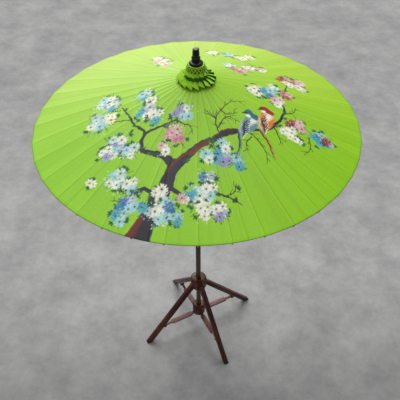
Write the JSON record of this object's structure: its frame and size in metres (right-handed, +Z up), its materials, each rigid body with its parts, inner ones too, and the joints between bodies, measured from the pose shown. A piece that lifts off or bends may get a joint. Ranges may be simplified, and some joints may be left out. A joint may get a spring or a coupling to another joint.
{
  "type": "oil paper umbrella",
  "caption": "Painted oiled-paper parasol with bamboo ribs and struts, a turned finial and pleated ruffles, standing open in a folding four-leg wooden stand.",
  "frame": {"origin": "on the pole's axis at the floor, under the feet of the spread stand", "axes": "+Z up along the pole; the first leg stands 153 degrees clockwise of +X seen from above, and -Y is the side seen first"},
  "size_m": [1.0004, 1.0004, 1.296],
  "materials": {
    "varnished_wood": "glossy red-brown varnish",
    "brace_wood": "glossy red-brown varnish",
    "pin_metal": "dull",
    "pole_bamboo": "olive-brown lacquer",
    "head_wood": "pale smooth wood",
    "thread": "waxed yellow thread",
    "finial_lacquer": "black gloss lacquer",
    "neck_cloth": "green cloth",
    "ruffle_cloth": "pleated green cloth",
    "rib_bamboo": "split bamboo",
    "oiled_paper": "oiled, slightly glossy, painted"
  },
  "bodies": {
    "stand": {"stand_upper_collar": "varnished_wood", "stand_upper_pins": "pin_metal"},
    "lower_collar": {"stand_lower_collar": "varnished_wood", "stand_lower_pins": "pin_metal"},
    "leg_1": {"leg_1": "varnished_wood"},
    "leg_2": {"leg_2": "varnished_wood"},
    "leg_3": {"leg_3": "varnished_wood"},
    "leg_4": {"leg_4": "varnished_wood"},
    "brace_1": {"brace_1": "brace_wood"},
    "brace_2": {"brace_2": "brace_wood"},
    "brace_3": {"brace_3": "brace_wood"},
    "brace_4": {"brace_4": "brace_wood"},
    "parasol": {"pole": "pole_bamboo", "head_notch": "head_wood", "head_thread": "thread", "finial": "finial_lacquer", "neck_wrap": "neck_cloth", "ruffle_upper": "ruffle_cloth", "ruffle_lower": "ruffle_cloth"},
    "runner": {"runner": "head_wood", "runner_thread": "thread"},
    "sector_1": {"rib_1": "rib_bamboo", "canopy_panel_1": "oiled_paper"},
    "struts_1": {"struts_1": "rib_bamboo"},
    "sector_2": {"rib_2": "rib_bamboo", "canopy_panel_2": "oiled_paper"},
    "struts_2": {"struts_2": "rib_bamboo"},
    "sector_3": {"rib_3": "rib_bamboo", "canopy_panel_3": "oiled_paper"},
    "struts_3": {"struts_3": "rib_bamboo"},
    "sector_4": {"rib_4": "rib_bamboo", "canopy_panel_4": "oiled_paper"},
    "struts_4": {"struts_4": "rib_bamboo"},
    "sector_5": {"rib_5": "rib_bamboo", "canopy_panel_5": "oiled_paper"},
    "struts_5": {"struts_5": "rib_bamboo"},
    "sector_6": {"rib_6": "rib_bamboo", "canopy_panel_6": "oiled_paper"},
    "struts_6": {"struts_6": "rib_bamboo"},
    "sector_7": {"rib_7": "rib_bamboo", "canopy_panel_7": "oiled_paper"},
    "struts_7": {"struts_7": "rib_bamboo"},
    "sector_8": {"rib_8": "rib_bamboo", "canopy_panel_8": "oiled_paper"},
    "struts_8": {"struts_8": "rib_bamboo"},
    "sector_9": {"rib_9": "rib_bamboo", "canopy_panel_9": "oiled_paper"},
    "struts_9": {"struts_9": "rib_bamboo"},
    "sector_10": {"rib_10": "rib_bamboo", "canopy_panel_10": "oiled_paper"},
    "struts_10": {"struts_10": "rib_bamboo"},
    "sector_11": {"rib_11": "rib_bamboo", "canopy_panel_11": "oiled_paper"},
    "struts_11": {"struts_11": "rib_bamboo"},
    "sector_12": {"rib_12": "rib_bamboo", "canopy_panel_12": "oiled_paper"},
    "struts_12": {"struts_12": "rib_bamboo"}
  },
  "joints": [
    {"name": "lower_collar_slide", "type": "slide", "parent": "stand", "child": "lower_collar", "axis": [0, 0, 1], "range_m": [0, 0.08858]},
    {"name": "leg_1_hinge", "type": "hinge", "parent": "stand", "child": "leg_1", "pos_m": [-0.02138, -0.0109, 0.251], "axis": [0.454, -0.891, 0], "range_deg": [0, 25.43]},
    {"name": "leg_2_hinge", "type": "hinge", "parent": "stand", "child": "leg_2", "pos_m": [0.0109, -0.02138, 0.251], "axis": [0.891, 0.454, 0], "range_deg": [0, 25.43]},
    {"name": "leg_3_hinge", "type": "hinge", "parent": "stand", "child": "leg_3", "pos_m": [0.02138, 0.0109, 0.251], "axis": [-0.454, 0.891, 0], "range_deg": [0, 25.43]},
    {"name": "leg_4_hinge", "type": "hinge", "parent": "stand", "child": "leg_4", "pos_m": [-0.0109, 0.02138, 0.251], "axis": [-0.891, -0.454, 0], "range_deg": [0, 25.43]},
    {"name": "brace_1_hinge", "type": "hinge", "parent": "lower_collar", "child": "brace_1", "pos_m": [-0.01693, -0.00863, 0.069], "axis": [0.454, -0.891, 0], "range_deg": [0, 69.84]},
    {"name": "brace_2_hinge", "type": "hinge", "parent": "lower_collar", "child": "brace_2", "pos_m": [0.00863, -0.01693, 0.069], "axis": [0.891, 0.454, 0], "range_deg": [0, 69.84]},
    {"name": "brace_3_hinge", "type": "hinge", "parent": "lower_collar", "child": "brace_3", "pos_m": [0.01693, 0.00863, 0.069], "axis": [-0.454, 0.891, 0], "range_deg": [0, 69.84]},
    {"name": "brace_4_hinge", "type": "hinge", "parent": "lower_collar", "child": "brace_4", "pos_m": [-0.00863, 0.01693, 0.069], "axis": [-0.891, -0.454, 0], "range_deg": [0, 69.84]},
    {"name": "parasol_lift", "type": "slide", "parent": "lower_collar", "child": "parasol", "axis": [0, 0, 1], "range_m": [0, 0.26]},
    {"name": "runner_slide", "type": "slide", "parent": "parasol", "child": "runner", "axis": [0, 0, -1], "range_m": [0, 0.3291]},
    {"name": "sector_1_hinge", "type": "hinge", "parent": "parasol", "child": "sector_1", "pos_m": [0.026, 0, 1.1986], "axis": [0, 1, 0], "range_deg": [0, 65.75], "deforming": ["canopy_panel_1"]},
    {"name": "struts_1_hinge", "type": "hinge", "parent": "sector_1", "child": "struts_1", "pos_m": [0.26122, 0, 1.11392], "axis": [0, 1, 0], "range_deg": [-131.5, 0], "deforming": ["struts_1"]},
    {"name": "sector_2_hinge", "type": "hinge", "parent": "parasol", "child": "sector_2", "pos_m": [0.02252, 0.013, 1.1986], "axis": [-0.5, 0.866, 0], "range_deg": [0, 65.75], "deforming": ["canopy_panel_2"]},
    {"name": "struts_2_hinge", "type": "hinge", "parent": "sector_2", "child": "struts_2", "pos_m": [0.22623, 0.13061, 1.11392], "axis": [-0.5, 0.866, 0], "range_deg": [-131.5, 0], "deforming": ["struts_2"]},
    {"name": "sector_3_hinge", "type": "hinge", "parent": "parasol", "child": "sector_3", "pos_m": [0.013, 0.02252, 1.1986], "axis": [-0.866, 0.5, 0], "range_deg": [0, 65.75], "deforming": ["canopy_panel_3"]},
    {"name": "struts_3_hinge", "type": "hinge", "parent": "sector_3", "child": "struts_3", "pos_m": [0.13061, 0.22623, 1.11392], "axis": [-0.866, 0.5, 0], "range_deg": [-131.5, 0], "deforming": ["struts_3"]},
    {"name": "sector_4_hinge", "type": "hinge", "parent": "parasol", "child": "sector_4", "pos_m": [0, 0.026, 1.1986], "axis": [-1, 0, 0], "range_deg": [0, 65.75], "deforming": ["canopy_panel_4"]},
    {"name": "struts_4_hinge", "type": "hinge", "parent": "sector_4", "child": "struts_4", "pos_m": [0, 0.26122, 1.11392], "axis": [-1, 0, 0], "range_deg": [-131.5, 0], "deforming": ["struts_4"]},
    {"name": "sector_5_hinge", "type": "hinge", "parent": "parasol", "child": "sector_5", "pos_m": [-0.013, 0.02252, 1.1986], "axis": [-0.866, -0.5, 0], "range_deg": [0, 65.75], "deforming": ["canopy_panel_5"]},
    {"name": "struts_5_hinge", "type": "hinge", "parent": "sector_5", "child": "struts_5", "pos_m": [-0.13061, 0.22623, 1.11392], "axis": [-0.866, -0.5, 0], "range_deg": [-131.5, 0], "deforming": ["struts_5"]},
    {"name": "sector_6_hinge", "type": "hinge", "parent": "parasol", "child": "sector_6", "pos_m": [-0.02252, 0.013, 1.1986], "axis": [-0.5, -0.866, 0], "range_deg": [0, 65.75], "deforming": ["canopy_panel_6"]},
    {"name": "struts_6_hinge", "type": "hinge", "parent": "sector_6", "child": "struts_6", "pos_m": [-0.22623, 0.13061, 1.11392], "axis": [-0.5, -0.866, 0], "range_deg": [-131.5, 0], "deforming": ["struts_6"]},
    {"name": "sector_7_hinge", "type": "hinge", "parent": "parasol", "child": "sector_7", "pos_m": [-0.026, 0, 1.1986], "axis": [0, -1, 0], "range_deg": [0, 65.75], "deforming": ["canopy_panel_7"]},
    {"name": "struts_7_hinge", "type": "hinge", "parent": "sector_7", "child": "struts_7", "pos_m": [-0.26122, 0, 1.11392], "axis": [0, -1, 0], "range_deg": [-131.5, 0], "deforming": ["struts_7"]},
    {"name": "sector_8_hinge", "type": "hinge", "parent": "parasol", "child": "sector_8", "pos_m": [-0.02252, -0.013, 1.1986], "axis": [0.5, -0.866, 0], "range_deg": [0, 65.75], "deforming": ["canopy_panel_8"]},
    {"name": "struts_8_hinge", "type": "hinge", "parent": "sector_8", "child": "struts_8", "pos_m": [-0.22623, -0.13061, 1.11392], "axis": [0.5, -0.866, 0], "range_deg": [-131.5, 0], "deforming": ["struts_8"]},
    {"name": "sector_9_hinge", "type": "hinge", "parent": "parasol", "child": "sector_9", "pos_m": [-0.013, -0.02252, 1.1986], "axis": [0.866, -0.5, 0], "range_deg": [0, 65.75], "deforming": ["canopy_panel_9"]},
    {"name": "struts_9_hinge", "type": "hinge", "parent": "sector_9", "child": "struts_9", "pos_m": [-0.13061, -0.22623, 1.11392], "axis": [0.866, -0.5, 0], "range_deg": [-131.5, 0], "deforming": ["struts_9"]},
    {"name": "sector_10_hinge", "type": "hinge", "parent": "parasol", "child": "sector_10", "pos_m": [0, -0.026, 1.1986], "axis": [1, 0, 0], "range_deg": [0, 65.75], "deforming": ["canopy_panel_10"]},
    {"name": "struts_10_hinge", "type": "hinge", "parent": "sector_10", "child": "struts_10", "pos_m": [0, -0.26122, 1.11392], "axis": [1, 0, 0], "range_deg": [-131.5, 0], "deforming": ["struts_10"]},
    {"name": "sector_11_hinge", "type": "hinge", "parent": "parasol", "child": "sector_11", "pos_m": [0.013, -0.02252, 1.1986], "axis": [0.866, 0.5, 0], "range_deg": [0, 65.75], "deforming": ["canopy_panel_11"]},
    {"name": "struts_11_hinge", "type": "hinge", "parent": "sector_11", "child": "struts_11", "pos_m": [0.13061, -0.22623, 1.11392], "axis": [0.866, 0.5, 0], "range_deg": [-131.5, 0], "deforming": ["struts_11"]},
    {"name": "sector_12_hinge", "type": "hinge", "parent": "parasol", "child": "sector_12", "pos_m": [0.02252, -0.013, 1.1986], "axis": [0.5, 0.866, 0], "range_deg": [0, 65.75], "deforming": ["canopy_panel_12"]},
    {"name": "struts_12_hinge", "type": "hinge", "parent": "sector_12", "child": "struts_12", "pos_m": [0.22623, -0.13061, 1.11392], "axis": [0.5, 0.866, 0], "range_deg": [-131.5, 0], "deforming": ["struts_12"]}
  ],
  "couplings": [
    {"joint": "leg_1_hinge", "follows": "lower_collar_slide", "rad_per_m": 5},
    {"joint": "leg_2_hinge", "follows": "lower_collar_slide", "rad_per_m": 5},
    {"joint": "leg_3_hinge", "follows": "lower_collar_slide", "rad_per_m": 5},
    {"joint": "leg_4_hinge", "follows": "lower_collar_slide", "rad_per_m": 5},
    {"joint": "brace_1_hinge", "follows": "lower_collar_slide", "rad_per_m": 13.751},
    {"joint": "brace_2_hinge", "follows": "lower_collar_slide", "rad_per_m": 13.751},
    {"joint": "brace_3_hinge", "follows": "lower_collar_slide", "rad_per_m": 13.751},
    {"joint": "brace_4_hinge", "follows": "lower_collar_slide", "rad_per_m": 13.751},
    {"joint": "sector_1_hinge", "follows": "runner_slide", "rad_per_m": 3.4844},
    {"joint": "struts_1_hinge", "follows": "runner_slide", "rad_per_m": -6.9687},
    {"joint": "sector_2_hinge", "follows": "runner_slide", "rad_per_m": 3.4844},
    {"joint": "struts_2_hinge", "follows": "runner_slide", "rad_per_m": -6.9687},
    {"joint": "sector_3_hinge", "follows": "runner_slide", "rad_per_m": 3.4844},
    {"joint": "struts_3_hinge", "follows": "runner_slide", "rad_per_m": -6.9687},
    {"joint": "sector_4_hinge", "follows": "runner_slide", "rad_per_m": 3.4844},
    {"joint": "struts_4_hinge", "follows": "runner_slide", "rad_per_m": -6.9687},
    {"joint": "sector_5_hinge", "follows": "runner_slide", "rad_per_m": 3.4844},
    {"joint": "struts_5_hinge", "follows": "runner_slide", "rad_per_m": -6.9687},
    {"joint": "sector_6_hinge", "follows": "runner_slide", "rad_per_m": 3.4844},
    {"joint": "struts_6_hinge", "follows": "runner_slide", "rad_per_m": -6.9687},
    {"joint": "sector_7_hinge", "follows": "runner_slide", "rad_per_m": 3.4844},
    {"joint": "struts_7_hinge", "follows": "runner_slide", "rad_per_m": -6.9687},
    {"joint": "sector_8_hinge", "follows": "runner_slide", "rad_per_m": 3.4844},
    {"joint": "struts_8_hinge", "follows": "runner_slide", "rad_per_m": -6.9687},
    {"joint": "sector_9_hinge", "follows": "runner_slide", "rad_per_m": 3.4844},
    {"joint": "struts_9_hinge", "follows": "runner_slide", "rad_per_m": -6.9687},
    {"joint": "sector_10_hinge", "follows": "runner_slide", "rad_per_m": 3.4844},
    {"joint": "struts_10_hinge", "follows": "runner_slide", "rad_per_m": -6.9687},
    {"joint": "sector_11_hinge", "follows": "runner_slide", "rad_per_m": 3.4844},
    {"joint": "struts_11_hinge", "follows": "runner_slide", "rad_per_m": -6.9687},
    {"joint": "sector_12_hinge", "follows": "runner_slide", "rad_per_m": 3.4844},
    {"joint": "struts_12_hinge", "follows": "runner_slide", "rad_per_m": -6.9687}
  ]
}
